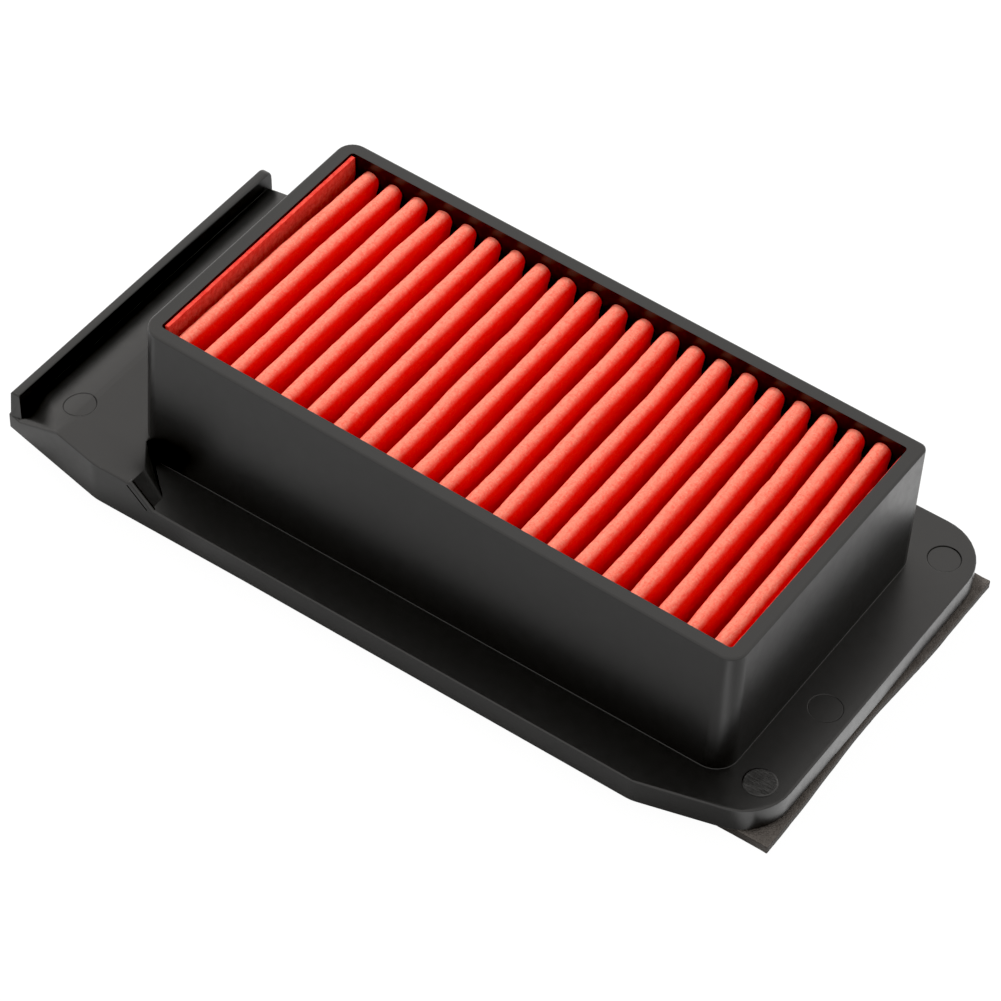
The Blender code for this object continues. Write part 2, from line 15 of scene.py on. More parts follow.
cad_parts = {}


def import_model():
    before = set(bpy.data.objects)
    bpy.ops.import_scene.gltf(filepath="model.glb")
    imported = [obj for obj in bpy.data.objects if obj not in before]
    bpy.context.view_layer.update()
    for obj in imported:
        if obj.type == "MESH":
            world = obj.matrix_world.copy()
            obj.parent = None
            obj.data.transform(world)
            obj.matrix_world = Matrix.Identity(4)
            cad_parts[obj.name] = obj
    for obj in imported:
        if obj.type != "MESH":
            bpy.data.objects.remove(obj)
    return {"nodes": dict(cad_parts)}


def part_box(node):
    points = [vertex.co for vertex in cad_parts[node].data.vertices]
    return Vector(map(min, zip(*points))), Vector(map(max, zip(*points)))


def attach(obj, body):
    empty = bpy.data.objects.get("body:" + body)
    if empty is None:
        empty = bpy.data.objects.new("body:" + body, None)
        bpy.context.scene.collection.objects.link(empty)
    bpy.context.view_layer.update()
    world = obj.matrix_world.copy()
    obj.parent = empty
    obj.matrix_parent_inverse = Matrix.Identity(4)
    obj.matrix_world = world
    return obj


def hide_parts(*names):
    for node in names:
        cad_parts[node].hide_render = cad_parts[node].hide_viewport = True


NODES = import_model()["nodes"]
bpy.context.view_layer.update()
MM = 0.001
scene = bpy.context.scene


# ------------------------------------------------------------------ material builder
class Mat:
    """Builds a node material step by step. Sizes and depths are in millimetres."""

    def __init__(self, name):
        self.mat = bpy.data.materials.new(name)
        self.mat.use_nodes = True
        self.tree = self.mat.node_tree
        self.tree.nodes.clear()
        self.out = self.node("ShaderNodeOutputMaterial")
        self.bsdf = self.node("ShaderNodeBsdfPrincipled")
        self.surface(self.bsdf)

    @cached_property
    def coord(self):
        """Object coordinates, made on first use."""
        return self.node("ShaderNodeTexCoord").outputs["Object"]

    def node(self, kind, **props):
        made = self.tree.nodes.new(kind)
        for key, value in props.items():
            setattr(made, key, value)
        return made

    def link(self, source, target):
        self.tree.links.new(source, target)

    def surface(self, shader):
        self.link(shader.outputs[0], self.out.inputs["Surface"])

    def put(self, socket, value):
        """Sets a socket from a number, a colour or another socket."""
        if isinstance(value, bpy.types.NodeSocket):
            self.link(value, socket)
        elif isinstance(value, (tuple, list)) and len(value) == 3 and socket.type == 'RGBA':
            socket.default_value = (*value, 1.0)
        else:
            socket.default_value = value

    def set(self, **values):
        """Sets inputs of the main shader; underscores stand for spaces."""
        for key, value in values.items():
            self.put(self.bsdf.inputs[key.replace("_", " ")], value)

    def geometry(self, output):
        return self.node("ShaderNodeNewGeometry").outputs[output]

    def mapped(self, scale, rot, source=None):
        mapping = self.node("ShaderNodeMapping")
        self.link(source or self.coord, mapping.inputs["Vector"])
        mapping.inputs["Scale"].default_value = scale
        mapping.inputs["Rotation"].default_value = rot
        return mapping.outputs[0]

    def noise(self, size, detail=3.0, rough=0.55, vector=None):
        tex = self.node("ShaderNodeTexNoise")
        self.link(vector or self.coord, tex.inputs["Vector"])
        tex.inputs["Scale"].default_value = 1.0 / (size * MM)
        tex.inputs["Detail"].default_value = detail
        tex.inputs["Roughness"].default_value = rough
        return tex.outputs["Fac"]

    def voronoi(self, size):
        tex = self.node("ShaderNodeTexVoronoi")
        self.link(self.coord, tex.inputs["Vector"])
        tex.inputs["Scale"].default_value = 1.0 / (size * MM)
        return tex.outputs["Distance"]

    def remap(self, value, span, to=(0.0, 1.0), smooth=False):
        """Maps the range `span` onto the range `to`, clamped."""
        ranger = self.node("ShaderNodeMapRange")
        ranger.interpolation_type = 'SMOOTHSTEP' if smooth else 'LINEAR'
        self.put(ranger.inputs["Value"], value)
        self.put(ranger.inputs["From Min"], span[0])
        self.put(ranger.inputs["From Max"], span[1])
        self.put(ranger.inputs["To Min"], to[0])
        self.put(ranger.inputs["To Max"], to[1])
        return ranger.outputs["Result"]

    def math(self, op, first, second=0.0):
        calc = self.node("ShaderNodeMath", operation=op)
        self.put(calc.inputs[0], first)
        self.put(calc.inputs[1], second)
        return calc.outputs[0]

    def mix(self, fac, low, high):
        """Colour `low` where fac is 0, `high` where it is 1."""
        mixer = self.node("ShaderNodeMix", data_type='RGBA', blend_type='MIX')
        self.put(mixer.inputs[0], fac)
        self.put(mixer.inputs[6], low)
        self.put(mixer.inputs[7], high)
        return mixer.outputs[2]

    def mix_shader(self, fac, first, second):
        mixer = self.node("ShaderNodeMixShader")
        self.put(mixer.inputs[0], fac)
        self.link(first.outputs[0], mixer.inputs[1])
        self.link(second.outputs[0], mixer.inputs[2])
        return mixer

    def bump(self, height, depth, strength, over=None):
        """Adds relief on top of the normal `over`."""
        relief = self.node("ShaderNodeBump")
        relief.inputs["Strength"].default_value = strength
        relief.inputs["Distance"].default_value = depth * MM
        self.put(relief.inputs["Height"], height)
        if over is not None:
            self.link(over, relief.inputs["Normal"])
        return relief.outputs["Normal"]

    def xyz(self, vector):
        split = self.node("ShaderNodeSeparateXYZ")
        self.link(vector, split.inputs[0])
        return split.outputs


# ------------------------------------------------------------------ frame plastic
ROUGH_PAD = (100.0, -38.15)     # centre x, y of the pad at the front right corner, mm
PIN_RADIUS = 4.1                # mm
PIN_MARKS = (                   # centre x, y in mm, strength of the witness line
    (-92.0, -42.05, 1.0),
    (98.9, 44.45, 1.0),
    (100.4, -11.05, 0.15),
)


def frame_plastic():
    m = Mat("frame_plastic_look")
    position = m.geometry("Position")
    # slightly broken edges, as a moulding has
    soft = m.node("ShaderNodeBevel", samples=6)
    soft.inputs["Radius"].default_value = 0.14 * MM

    # grain of the mould, slight waviness, a few fine handling marks
    grain = m.noise(size=0.15, detail=2.0, rough=0.6)
    pits = m.remap(m.voronoi(size=0.34), span=(0.0, 0.55))
    waves = m.noise(size=11.0, detail=2.0, rough=0.5)
    normal = m.bump(grain, depth=0.008, strength=0.45, over=soft.outputs[0])
    normal = m.bump(pits, depth=0.006, strength=0.30, over=normal)
    normal = m.bump(waves, depth=0.035, strength=0.30, over=normal)
    stretched = m.mapped(scale=(1.0, 14.0, 1.0), rot=(0.3, 0.2, 0.7))
    scratch = m.noise(size=3.2, detail=4.0, rough=0.7, vector=stretched)
    line = m.remap(m.math('ABSOLUTE', m.math('SUBTRACT', scratch, 0.5)),
                   span=(0.0, 0.010), to=(1.0, 0.0))
    patch = m.remap(m.noise(size=16.0, detail=2.0, rough=0.5), span=(0.56, 0.66))
    marks = m.math('MULTIPLY', line, patch)
    normal = m.bump(marks, depth=0.006, strength=0.35, over=normal)

    x, y, z = m.xyz(position)

    def distance(centre_x, centre_y):
        """Distance in the x-y plane from a point given in mm."""
        dx = m.math('SUBTRACT', x, centre_x * MM)
        dy = m.math('SUBTRACT', y, centre_y * MM)
        return m.math('SQRT', m.math('ADD', m.math('MULTIPLY', dx, dx),
                                     m.math('MULTIPLY', dy, dy)))

    # one pin left a rough pad with diagonal drag lines
    pad = m.remap(distance(*ROUGH_PAD), span=(3.7 * MM, 4.0 * MM), to=(1.0, 0.0))
    diagonal = m.mapped(scale=(0.18, 1.0, 1.0), rot=(0.0, 0.0, 0.75), source=position)
    drag = m.noise(size=0.42, detail=3.0, rough=0.65, vector=diagonal)
    normal = m.bump(m.math('MULTIPLY', drag, pad), depth=0.30, strength=0.9, over=normal)

    # thin witness line of the other ejector pins, only between two heights
    ring = None
    for pin_x, pin_y, strength in PIN_MARKS:
        off = m.math('ABSOLUTE', m.math('SUBTRACT', distance(pin_x, pin_y),
                                        PIN_RADIUS * MM))
        one = m.remap(off, span=(0.06 * MM, 0.20 * MM), to=(strength, 0.0))
        ring = one if ring is None else m.math('MAXIMUM', ring, one)
    above = m.remap(z, span=(4.0 * MM, 6.0 * MM))
    below = m.remap(z, span=(18.0 * MM, 20.0 * MM), to=(1.0, 0.0))
    ring = m.math('MULTIPLY', ring, m.math('MULTIPLY', above, below))
    normal = m.bump(m.math('SUBTRACT', 1.0, ring), depth=0.10, strength=0.7, over=normal)

    # deep black, a little greyer in dusty patches
    dust = m.remap(m.noise(size=5.5, detail=5.0, rough=0.65),
                   span=(0.45, 0.8), to=(0.0, 0.30))
    base = m.mix(dust, low=(0.0038, 0.0038, 0.0036), high=(0.0066, 0.0065, 0.0060))
    # the marks and the pad are rougher than the rest
    rough = m.remap(m.noise(size=2.6, detail=4.0, rough=0.6),
                    span=(0.3, 0.7), to=(0.285, 0.345))
    rough = m.math('ADD', rough, m.math('MULTIPLY', marks, 0.06))
    rough = m.math('ADD', rough, m.math('MULTIPLY', pad, 0.10))
    # duller on the witness lines, streaky on the pad
    streak = m.math('MULTIPLY', m.remap(drag, span=(0.35, 0.65), to=(-0.16, 0.20)), pad)
    gloss = m.math('ADD', m.remap(ring, span=(0.0, 1.0), to=(0.5, 0.22)), streak)
    m.set(Base_Color=base, Roughness=rough, IOR=1.50, Normal=normal,
          Specular_IOR_Level=gloss)
    return m.mat


# ------------------------------------------------------------------ felt
PAINTED_HIGHLIGHT_SIDE = (-0.20, -0.10, 0.90)    # weights of the normal's x, y, z for the painted highlight on the crests


def felt():
    m = Mat("media_felt_look")
    crest = m.node("ShaderNodeAttribute", attribute_name="crest").outputs["Fac"]
    flap = m.node("ShaderNodeAttribute", attribute_name="flap").outputs["Fac"]
    # fibres in two directions, fluff, and a coarse relief on the end flaps
    fibre_a = m.noise(size=0.60, detail=4.0, rough=0.75,
                      vector=m.mapped(scale=(1.0, 0.40, 1.0), rot=(0.2, 0.1, 0.5)))
    fibre_b = m.noise(size=0.55, detail=4.0, rough=0.75,
                      vector=m.mapped(scale=(0.4, 1.0, 1.0), rot=(0.4, 0.3, 1.1)))
    fluff = m.noise(size=1.05, detail=4.0, rough=0.68)
    coarse = m.noise(size=1.15, detail=3.0, rough=0.65)
    normal = m.bump(m.math('ADD', fibre_a, fibre_b), depth=0.24, strength=0.75)
    normal = m.bump(fluff, depth=0.26, strength=0.55, over=normal)
    normal = m.bump(m.math('MULTIPLY', coarse, flap), depth=0.38, strength=0.8,
                    over=normal)

    # deep red sheet; a painted highlight turns it pale coral where the crests face up towards
    # the light
    tint = m.math('ADD', m.math('MULTIPLY', fibre_a, 0.5), m.math('MULTIPLY', fluff, 0.5))
    base = m.mix(m.remap(tint, span=(0.35, 0.65)),
                 low=(0.93, 0.013, 0.010), high=(0.99, 0.034, 0.022))
    x, y, z = m.xyz(m.geometry("Normal"))
    lit = m.math('ADD', m.math('MULTIPLY', z, PAINTED_HIGHLIGHT_SIDE[2]),
                 m.math('ADD', m.math('MULTIPLY', x, PAINTED_HIGHLIGHT_SIDE[0]),
                        m.math('MULTIPLY', y, PAINTED_HIGHLIGHT_SIDE[1])))
    lit = m.remap(lit, span=(0.28, 0.99), smooth=True)
    painted_highlight = m.math('MULTIPLY', lit, m.remap(crest, span=(0.10, 0.75)))
    grain = m.remap(m.math('ADD', fibre_a, fibre_b), span=(0.80, 1.20), to=(0.58, 1.42))
    painted_highlight = m.math('MINIMUM', m.math('MULTIPLY', painted_highlight, grain), 1.0)
    base = m.mix(m.math('MULTIPLY', painted_highlight, 0.84), low=base, high=(1.0, 0.385, 0.265))
    # pale fibre specks, partly real grain and partly painted highlight, since they are
    # stronger on the painted highlight
    speck = m.remap(m.noise(size=0.46, detail=3.0, rough=0.6), span=(0.55, 0.68))
    speck = m.math('MULTIPLY', speck, m.remap(painted_highlight, span=(0.05, 0.7), to=(0.06, 0.45)))
    base = m.mix(speck, low=base, high=(1.0, 0.52, 0.40))
    # the flaps are duller and patchy
    dull = m.mix(m.remap(coarse, span=(0.38, 0.62)),
                 low=(0.78, 0.060, 0.046), high=(0.96, 0.125, 0.092))
    base = m.mix(flap, low=base, high=dull)
    m.set(Base_Color=base, Roughness=0.95, Normal=normal, IOR=1.35, Sheen_Weight=0.20,
          Sheen_Roughness=0.5, Sheen_Tint=(1.0, 0.42, 0.30), Specular_IOR_Level=0.12)

    # thin felt lets some light through
    glow = m.node("ShaderNodeBsdfTranslucent")
    m.put(glow.inputs["Color"], (0.95, 0.012, 0.008))
    m.link(normal, glow.inputs["Normal"])
    m.surface(m.mix_shader(fac=0.42, first=m.bsdf, second=glow))
    return m.mat


# ------------------------------------------------------------------ foam
def foam_look():
    m = Mat("gasket_foam_look")
    cells = m.voronoi(size=0.55)
    holes = m.remap(cells, span=(0.0, 0.62))
    fine = m.noise(size=0.30, detail=3.0, rough=0.7)
    broad = m.noise(size=3.0, detail=3.0, rough=0.6)
    normal = m.bump(holes, depth=0.16, strength=0.8)
    normal = m.bump(fine, depth=0.12, strength=0.7, over=normal)
    normal = m.bump(broad, depth=0.35, strength=0.4, over=normal)
    # brown-grey, with painted shade in the cell hollows, paler in broad patches
    base = m.mix(m.remap(fine, span=(0.3, 0.75)),
                 low=(0.058, 0.051, 0.046), high=(0.180, 0.162, 0.148))
    base = m.mix(m.remap(cells, span=(0.12, 0.32), to=(0.55, 0.0)),
                 low=base, high=(0.026, 0.023, 0.021))
    base = m.mix(m.remap(broad, span=(0.35, 0.7), to=(0.0, 0.5)),
                 low=base, high=(0.170, 0.155, 0.142))
    # painted shade: the upright sides are darkened as if out of the light, the skins are not
    level = m.math('ABSOLUTE', m.xyz(m.geometry("Normal"))[2])
    base = m.mix(m.remap(level, span=(0.35, 0.8), to=(0.85, 0.0)),
                 low=base, high=(0.020, 0.0175, 0.0155))
    m.set(Base_Color=base, Roughness=0.88, Normal=normal, Sheen_Weight=0.06,
          Sheen_Roughness=0.5, Specular_IOR_Level=0.25)
    return m.mat


# ------------------------------------------------------------------ glue and tape
def glue_look():
    m = Mat("edge_glue_look")
    normal = m.bump(m.noise(size=1.6), depth=0.25, strength=0.6)
    normal = m.bump(m.noise(size=0.35, detail=2.0, rough=0.5),
                    depth=0.04, strength=0.4, over=normal)
    base = m.mix(m.noise(size=1.1, detail=3.0, rough=0.6),
                 low=(0.030, 0.006, 0.005), high=(0.012, 0.007, 0.007))
    rough = m.remap(m.noise(size=0.9, detail=2.0), span=(0.3, 0.7), to=(0.32, 0.5))
    m.set(Base_Color=base, Roughness=rough, Normal=normal, IOR=1.48)
    return m.mat


def tape_look():
    m = Mat("gasket_tape_look")
    normal = m.bump(m.noise(size=2.4, detail=3.0, rough=0.5), depth=0.05, strength=0.4)
    weave = m.noise(size=0.25, detail=2.0, rough=0.6)
    base = m.mix(weave, low=(0.30, 0.28, 0.25), high=(0.44, 0.42, 0.38))
    m.set(Base_Color=base, Roughness=0.5, Normal=normal)
    return m.mat


LOOK = {
    "frame": frame_plastic(),
    "felt": felt(),
    "foam": foam_look(),
    "glue": glue_look(),
    "tape": tape_look(),
}


# ------------------------------------------------------------------ pieces kept from the CAD
def dress(name, look):
    ob = NODES[name]
    ob.data.materials.clear()
    ob.data.materials.append(look)
    return ob


def smooth_faces(ob, angle):
    """Welds the loose triangles, then smooths every edge below the angle in degrees."""
    weld = ob.modifiers.new("weld", 'WELD')
    weld.merge_threshold = 0.001 * MM
    if ob.data.has_custom_normals:
        with bpy.context.temp_override(object=ob, active_object=ob, selected_objects=[ob]):
            bpy.ops.mesh.customdata_custom_splitnormals_clear()
    ob.data.shade_smooth()
    split = ob.modifiers.new("edge_split", 'EDGE_SPLIT')
    split.split_angle = math.radians(angle)
    # broad faces keep their own direction, the small roundings take up the turn
    flat = ob.modifiers.new("broad_faces", 'WEIGHTED_NORMAL')
    flat.mode = 'FACE_AREA'
    flat.weight = 95
    flat.keep_sharp = True


smooth_faces(dress("frame_moulding", LOOK["frame"]), angle=46)
dress("gasket_tape", LOOK["tape"])


# ------------------------------------------------------------------ mesh helpers
def mesh_from(bm, name):
    mesh = bpy.data.meshes.new(name)
    bm.to_mesh(mesh)
    bm.free()
    mesh.shade_smooth()
    return mesh


def add_object(name, mesh, look):
    ob = bpy.data.objects.new(name, mesh)
    scene.collection.objects.link(ob)
    mesh.materials.append(look)
    return ob


def register(ob, node):
    """Lets the object take the place of a CAD node."""
    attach(ob, "root")
    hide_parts(node)


# ------------------------------------------------------------------ felt pack
# The folded sheet: every pleat has its own bow, lean and height, and the felt is
# slightly lumpy.
PLEATS = 21
SPAN_PITCHES = 21.2             # length between the end walls, in pitches
FIRST_CREST = 0.65              # first crest from the left wall, in pitches
SHEET_T = 1.0 * MM
WALL_GAP = 0.35 * MM            # between pack and end wall
FLAP_DROP = 0.45 * MM           # left flap's top edge below the rim
RIGHT_FLAP_DROP = 3.2 * MM
CREST_DROP = 3.0 * MM           # crests below the rim
FOLD_DEPTH = 37.6 * MM          # crest to root
RIM_SLOPE = -0.0234             # the rim falls towards the right
HALF_TOP = 1.82 * MM            # half width of a crest, on the sheet's centre line
BACK_REACH = 0.95 * MM          # the crests' back ends nearly touch the back wall

ROWS = 64                       # samples along Y
FLAP_STEPS = 22                 # left flap
END_STEPS = 12                  # right flap
ROOT_STEPS = 8
CREST_STEPS = 12
FLANK_STEPS = 13
KNOT_SPANS = 5                  # spans of the random curves along a crest

pack_lo, pack_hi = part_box("pleated_media")
WALL_L = pack_lo.x - WALL_GAP
WALL_R = pack_hi.x + WALL_GAP
PITCH = (WALL_R - WALL_L) / SPAN_PITCHES
HALF_ROOT = PITCH / 4           # half width of a pleat at its foot
Y0, Y1 = pack_lo.y, pack_hi.y

ys = np.linspace(Y0, Y1, ROWS)
across = (ys - (Y0 + Y1) / 2) / ((Y1 - Y0) / 2)     # -1 at the front, 1 at the back
backness = ((across + 1) / 2) ** 1.6


def rim_z(x):
    return pack_hi.z + FLAP_DROP + RIM_SLOPE * (x - pack_lo.x)


def crest_z(x):
    return rim_z(x) - CREST_DROP


def root_z(x):
    return crest_z(x) - FOLD_DEPTH


def wander(amp, seed):
    """Smooth random curve over the rows, a Catmull-Rom spline through random knots."""
    knots = np.random.default_rng(seed).normal(0.0, 1.0, KNOT_SPANS + 3)
    t = np.linspace(0.0, KNOT_SPANS, ROWS)
    i = np.floor(t).astype(int)
    f = t - i
    i = np.clip(i, 0, KNOT_SPANS - 1)
    p0, p1, p2, p3 = (knots[i + k] for k in range(4))
    return amp * 0.5 * ((2 * p1) + (-p0 + p2) * f + (2 * p0 - 5 * p1 + 4 * p2 - p3) * f ** 2
                        + (-p0 + 3 * p1 - 3 * p2 + p3) * f ** 3)


def crest_variation():
    """Shift in x, shift in z and width factor of every crest, pleats x rows."""
    rng = np.random.default_rng(11)
    shift_x = np.zeros((PLEATS, ROWS))
    shift_z = np.zeros((PLEATS, ROWS))
    width = np.zeros((PLEATS, ROWS))
    for i in range(PLEATS):
        bow = rng.normal(0.0, 0.20) * MM
        lean = rng.normal(0.0, 0.10) * MM
        # the back ends are drawn together towards the middle
        drawn = (1.0 - 3.0 * i / (PLEATS - 1)) * MM
        kink = 0.0
        if i % 5 == 3:
            at = rng.uniform(-0.6, 0.6)
            kink = rng.choice((-1, 1)) * 0.22 * MM * np.exp(-((across - at) / 0.10) ** 2)
        shift_x[i] = (bow * (1 - across ** 2) + lean * across + drawn * backness + kink
                      + wander(0.055 * MM, 100 + i))
        # pleats right of the middle rise towards the back
        shift_z[i] = (rng.normal(0.0, 0.08) * MM + wander(0.06 * MM, 200 + i)
                      + 0.70 * MM * backness * max(0.0, (i - 10) / 10))
        width[i] = 1.0 + wander(0.035, 300 + i)
    return shift_x, np.minimum(shift_z, 0.95 * MM), width


CREST_DX, CREST_DZ, CREST_W = crest_variation()


def half_round(centre_x, base_z, radius, side, steps):
    """Half circle from left to right, bulging up (side 1) or down (side -1)."""
    angles = [math.pi - math.pi * k / steps for k in range(steps + 1)]
    return [(centre_x + radius * math.cos(a), base_z + side * radius * math.sin(a))
            for a in angles]


def flank(foot_x, top_x, z_low, z_top):
    """Inner points of a pleat's side from foot to top, dense near the crest."""
    pts = []
    for k in range(1, FLANK_STEPS):
        t = (k / FLANK_STEPS) ** 0.55
        pts.append((top_x + (foot_x - top_x) * (1 - t) ** 0.7, z_low + (z_top - z_low) * t))
    return pts


def profile(row):
    """Centre line of the sheet at one row: points (x, z), same count on every row."""
    crest_x = [WALL_L + PITCH * (FIRST_CREST + i) + CREST_DX[i][row] for i in range(PLEATS)]
    left_x = pack_lo.x + SHEET_T / 2
    right_x = pack_hi.x - SHEET_T / 2

    # left flap down to the first root; it stands slightly off the wall
    flap_top = rim_z(left_x) - FLAP_DROP
    root_r = (crest_x[0] - HALF_ROOT - left_x) / 2
    root_x = left_x + root_r
    flap_low = root_z(root_x) + SHEET_T / 2 + root_r
    pts = []
    for k in range(FLAP_STEPS):
        t = (k / FLAP_STEPS) ** 1.35
        belly = 0.30 * MM * math.sin(min(t * 3.0, 1.0) * math.pi) * (1 - 0.3 * across[row])
        pts.append((left_x + belly, flap_top + (flap_low - flap_top) * t))
    pts += half_round(root_x, flap_low, root_r, -1, ROOT_STEPS)

    # pleats, each with the root to its right
    root_ends = [x - HALF_ROOT for x in crest_x[1:]] + [right_x]
    for i, (mid_x, root_end) in enumerate(zip(crest_x, root_ends)):
        half = HALF_TOP * CREST_W[i][row]
        foot_r = mid_x + HALF_ROOT
        z_low = root_z(mid_x) + SHEET_T / 2 + HALF_ROOT
        z_top = crest_z(mid_x) + CREST_DZ[i][row] - SHEET_T / 2 - half
        pts += flank(mid_x - HALF_ROOT, mid_x - half, z_low, z_top)
        pts += half_round(mid_x, z_top, half, 1, CREST_STEPS)
        pts += reversed(flank(foot_r, mid_x + half, z_low, z_top))
        pts += half_round((foot_r + root_end) / 2, z_low, (root_end - foot_r) / 2, -1,
                          ROOT_STEPS)

    # right flap
    end_top = rim_z(right_x) - RIGHT_FLAP_DROP
    end_low = pts[-1][1]
    for k in range(1, END_STEPS + 1):
        t = (k / END_STEPS) ** 0.8
        pts.append((right_x, end_low + (end_top - end_low) * t))
    return np.array(pts)


def line_normals(lines):
    """Unit normals of the centre lines, in the x-z plane."""
    along = np.zeros_like(lines)
    along[:, 1:-1] = lines[:, 2:] - lines[:, :-2]
    along[:, 0] = lines[:, 1] - lines[:, 0]
    along[:, -1] = lines[:, -1] - lines[:, -2]
    along /= np.linalg.norm(along, axis=2, keepdims=True) + 1e-12
    return np.stack([-along[:, :, 1], along[:, :, 0]], axis=2)


def sheet_faces(count):
    """Faces of the closed sheet: two skins of ROWS x count points and four edges."""
    layer = ROWS * count
    last_row = (ROWS - 1) * count
    faces = []
    for r in range(ROWS - 1):
        for k in range(count - 1):
            a, b = r * count + k, r * count + k + 1
            c, d = b + count, a + count
            faces.append((a, b, c, d))
            faces.append((layer + a, layer + d, layer + c, layer + b))
    for a in range(count - 1):                                  # front and back ends
        b = a + 1
        faces.append((a, layer + a, layer + b, b))
        c, d = last_row + a, last_row + b
        faces.append((c, d, layer + d, layer + c))
    for r in range(ROWS - 1):                                   # top edges of the flaps
        a, b = r * count, (r + 1) * count
        faces.append((a, b, layer + b, layer + a))
        c, d = a + count - 1, b + count - 1
        faces.append((c, layer + c, layer + d, d))
    return faces


def build_pack():
    lines = np.array([profile(r) for r in range(ROWS)])         # rows x points x 2
    normals = line_normals(lines)
    count = lines.shape[1]
    verts, crest_tag, flap_tag = [], [], []
    for side in (1.0, -1.0):
        for r in range(ROWS):
            y = ys[r]
            # 0 to 1 over the last stretch before the back end
            near_back = min(1.0, max(0.0, (across[r] - 0.86) / 0.14))
            near_back = near_back * near_back * (3 - 2 * near_back)
            for k in range(count):
                x, z = lines[r][k]
                lump = noise.noise(Vector((x * 420, y * 420, z * 420 + side * 9)))
                fine = noise.noise(Vector((x * 1300, y * 1300, z * 1300)))
                offset = side * (SHEET_T / 2 * (1 + 0.10 * lump)
                                 + (0.045 * lump + 0.028 * fine) * MM)
                under = (crest_z(x) - z) / MM                   # mm below the crest line
                high = min(1.0, max(0.0, (4.2 - under) / 0.9))
                left_flap = k < FLAP_STEPS - 2
                part = 0.6 if left_flap else 1.0                # clear of the collar's corner
                new_y = y + BACK_REACH * part * near_back * high
                if r in (0, ROWS - 1):
                    new_y += 0.12 * MM * noise.noise(Vector((x * 700, z * 700, 3.0)))
                # 1 at the crest line, fading below; it masks the felt's painted highlight
                crest_tag.append(min(1.0, max(0.0, 1.0 - (under - 0.4) / 3.4)))
                flap_tag.append(1.0 if left_flap or k >= count - END_STEPS else 0.0)
                out_x, out_z = normals[r][k]
                verts.append((x + out_x * offset, new_y, z + out_z * offset))

    mesh = bpy.data.meshes.new("pleated_felt")
    mesh.from_pydata(verts, [], sheet_faces(count))
    mesh.validate()
    bm = bmesh.new()
    bm.from_mesh(mesh)
    bmesh.ops.recalc_face_normals(bm, faces=bm.faces)
    bm.to_mesh(mesh)
    bm.free()
    for label, values in (("crest", crest_tag), ("flap", flap_tag)):
        attribute = mesh.attributes.new(label, 'FLOAT', 'POINT')
        attribute.data.foreach_set("value", np.array(values, dtype=np.float32))
    mesh.shade_smooth()
    mesh.set_sharp_from_angle(angle=math.radians(60))
    register(add_object("pleated_felt", mesh, LOOK["felt"]), "pleated_media")


build_pack()


# ------------------------------------------------------------------ foam gasket
OPENING_X = (-69.0 * MM, 86.6 * MM)
OPENING_Y = (-35.45 * MM, 36.95 * MM)
FOAM_STEP = 1.15 * MM
WALL_LEVELS = (0.0, 0.33, 0.67, 1.0)    # heights of the wall's rows, as shares
FOAM_SHRINK = 0.10 * MM


def grid_lines(start, opening, end):
    """Grid lines from start to end that also hit the opening's edges."""
    stops = [start, *opening, end]
    out = []
    for a, b in zip(stops, stops[1:]):
        count = max(2, int(round((b - a) / FOAM_STEP)))
        out += [a + (b - a) * k / count for k in range(count)]
    return out + [end]


def in_opening(x, y):
    return OPENING_X[0] < x < OPENING_X[1] and OPENING_Y[0] < y < OPENING_Y[1]


def foam_skins(bm, lo, hi):
    """Bottom (0) and top (1) skin; returns the vertices by (skin, i, j)."""
    xs = grid_lines(lo.x, OPENING_X, hi.x)
    rows = grid_lines(lo.y, OPENING_Y, hi.y)
    grid = {}
    for skin, z in enumerate((lo.z, hi.z)):
        for i, x in enumerate(xs):
            for j, y in enumerate(rows):
                if not in_opening(x, y):
                    grid[(skin, i, j)] = bm.verts.new((x, y, z))
    for skin in (0, 1):
        for i in range(len(xs) - 1):
            for j in range(len(rows) - 1):
                if in_opening((xs[i] + xs[i + 1]) / 2, (rows[j] + rows[j + 1]) / 2):
                    continue
                quad = [grid[(skin, i, j)], grid[(skin, i + 1, j)],
                        grid[(skin, i + 1, j + 1)], grid[(skin, i, j + 1)]]
                if skin == 0:
                    quad.reverse()
                bm.faces.new(quad)
    return grid


def foam_walls(bm, grid, lo, hi):
    """Bridges the matching open edges of the two skins."""
    key_of = {vert: key for key, vert in grid.items()}
    pairs = []
    for edge in bm.edges:
        if edge.is_boundary:
            start, end = (key_of[vert] for vert in edge.verts)
            if start[0] == 0:
                pairs.append((start[1:], end[1:]))
    between = {}

    def at(place, level):
        """Vertex of the wall at one level between the bottom and the top skin."""
        if level == 0:
            return grid[(0, *place)]
        if level == len(WALL_LEVELS) - 1:
            return grid[(1, *place)]
        if (place, level) not in between:
            foot = grid[(0, *place)].co
            z = lo.z + (hi.z - lo.z) * WALL_LEVELS[level]
            between[(place, level)] = bm.verts.new((foot.x, foot.y, z))
        return between[(place, level)]

    for a, b in pairs:
        for level in range(len(WALL_LEVELS) - 1):
            bm.faces.new((at(a, level), at(b, level), at(b, level + 1), at(a, level + 1)))


